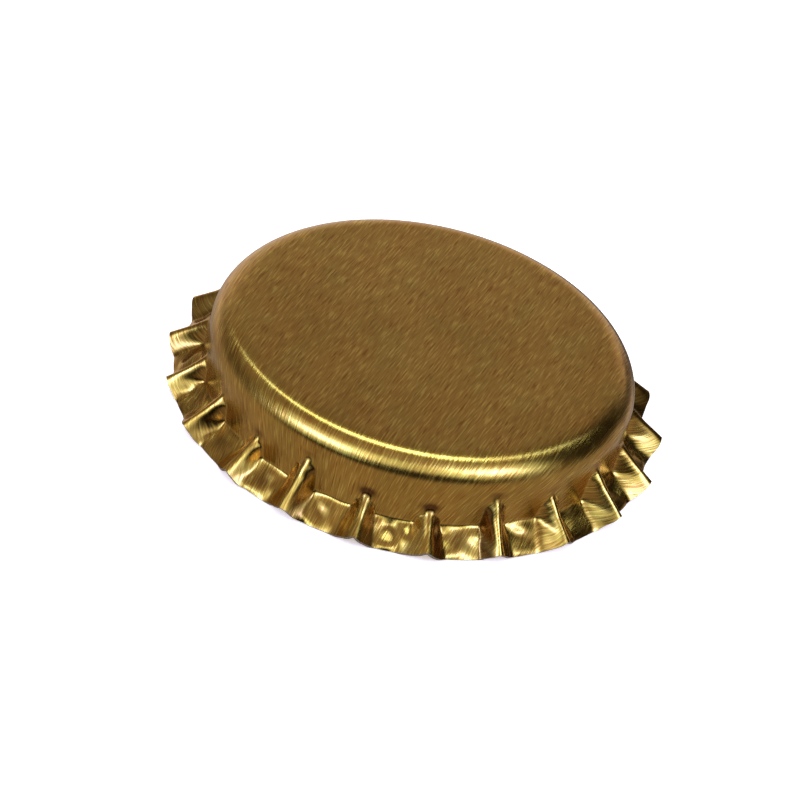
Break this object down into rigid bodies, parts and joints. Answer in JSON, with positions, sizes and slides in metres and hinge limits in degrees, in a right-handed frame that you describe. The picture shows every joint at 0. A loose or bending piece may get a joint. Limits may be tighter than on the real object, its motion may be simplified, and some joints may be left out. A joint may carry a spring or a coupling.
{
  "type": "crown cap",
  "caption": "Uncrimped crown cap for a glass bottle: a drawn, fluted sheet-metal cap in gold lacquer, with a moulded sealing liner inside.",
  "frame": {"origin": "on the cap's axis, in the plane that the rim stands on", "axes": "+Z along the cap's axis, from the open mouth to the flat panel; +X through the crest of a flute"},
  "size_m": [0.0319, 0.032, 0.006],
  "materials": {
    "gold_tinplate": "fine brushed steel sheet under a clear gold lacquer, glossy, with a bare sheared edge",
    "liner_polymer": "soft off-white sealing compound, satin, as moulded"
  },
  "bodies": {
    "root": {"crown_shell": "gold_tinplate", "liner": "liner_polymer"}
  },
  "joints": []
}
